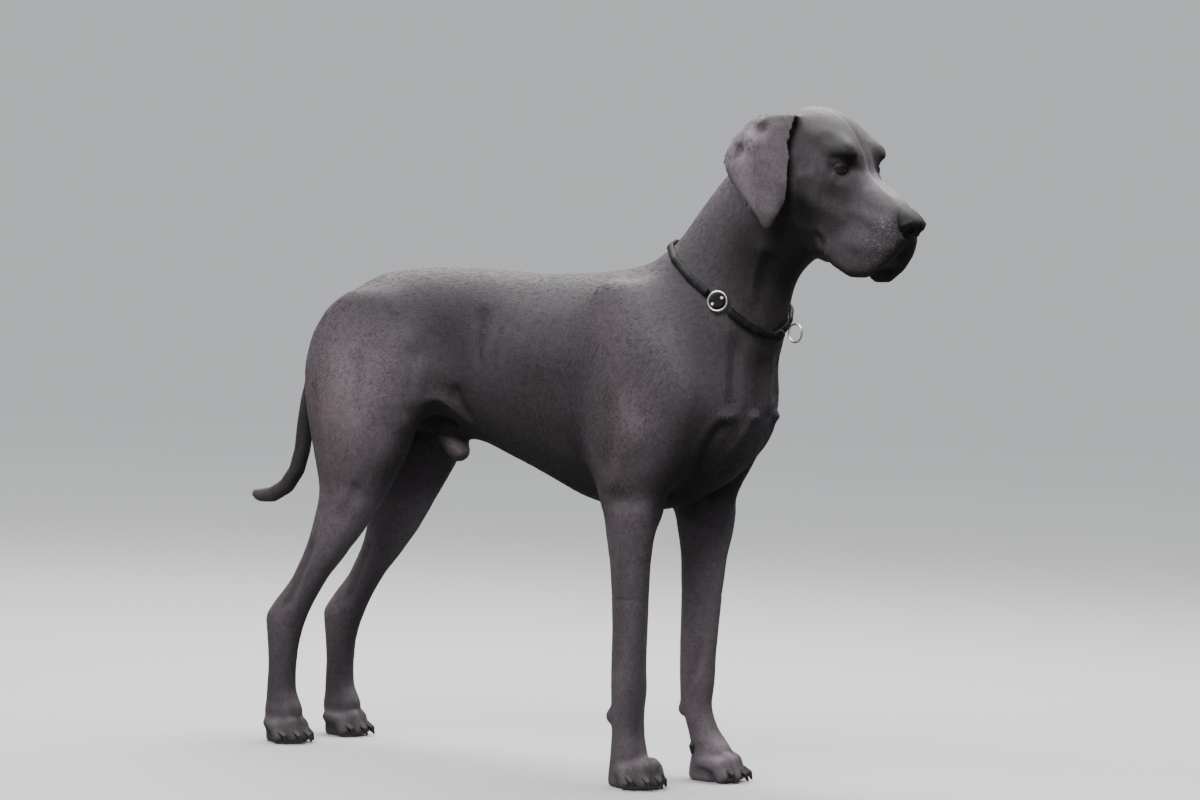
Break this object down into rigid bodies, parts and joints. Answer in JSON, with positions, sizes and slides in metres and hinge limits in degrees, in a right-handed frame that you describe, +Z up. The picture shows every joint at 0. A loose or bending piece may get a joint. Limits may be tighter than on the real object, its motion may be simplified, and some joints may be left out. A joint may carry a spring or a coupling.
{
  "type": "great dane",
  "caption": "Standing Great Dane, life size, with a grey coat, hanging ears, a hanging tail and a rolled black collar with chrome rings, as a still model.",
  "frame": {"origin": "the middle of the floor under the dog, at the middle of its bounding box", "axes": "+X ahead, from the tail to the nose; +Y towards the dog's left; +Z up"},
  "size_m": [1.346, 0.2866, 1.1178],
  "materials": {
    "coat": "short flat blue-grey coat with a soft sheen",
    "ear": "short silky coat, a little lighter",
    "nose": "moist slate-grey pebbled skin",
    "eye": "glossy dark amber eye",
    "claw": "dark horn",
    "collar_leather": "rolled black leather",
    "chrome": "polished"
  },
  "bodies": {
    "root": {"trunk": "coat", "neck": "coat", "head": "coat", "lower_jaw": "coat", "sheath": "coat", "scrotum": "coat", "tail": "coat", "shoulder_right": "coat", "forearm_right": "coat", "forepaw_right": "coat", "thigh_right": "coat", "lower_hindleg_right": "coat", "hind_pastern_right": "coat", "hindpaw_right": "coat", "shoulder_left": "coat", "forearm_left": "coat", "forepaw_left": "coat", "thigh_left": "coat", "lower_hindleg_left": "coat", "hind_pastern_left": "coat", "hindpaw_left": "coat", "ear_right": "ear", "ear_left": "ear", "nose": "nose", "eye_right": "eye", "eye_left": "eye", "fore_claw_right_1": "claw", "fore_claw_right_2": "claw", "fore_claw_right_3": "claw", "fore_claw_right_4": "claw", "hind_claw_right_1": "claw", "hind_claw_right_2": "claw", "hind_claw_right_3": "claw", "hind_claw_right_4": "claw", "dewclaw_right": "claw", "fore_claw_left_1": "claw", "fore_claw_left_2": "claw", "fore_claw_left_3": "claw", "fore_claw_left_4": "claw", "hind_claw_left_1": "claw", "hind_claw_left_2": "claw", "hind_claw_left_3": "claw", "hind_claw_left_4": "claw", "dewclaw_left": "claw", "strap_back": "collar_leather", "strap_front": "collar_leather", "slider": "collar_leather", "side_patch": "collar_leather", "side_ring": "chrome", "lead_ring": "chrome", "rivet_1": "chrome", "rivet_2": "chrome"}
  },
  "joints": []
}
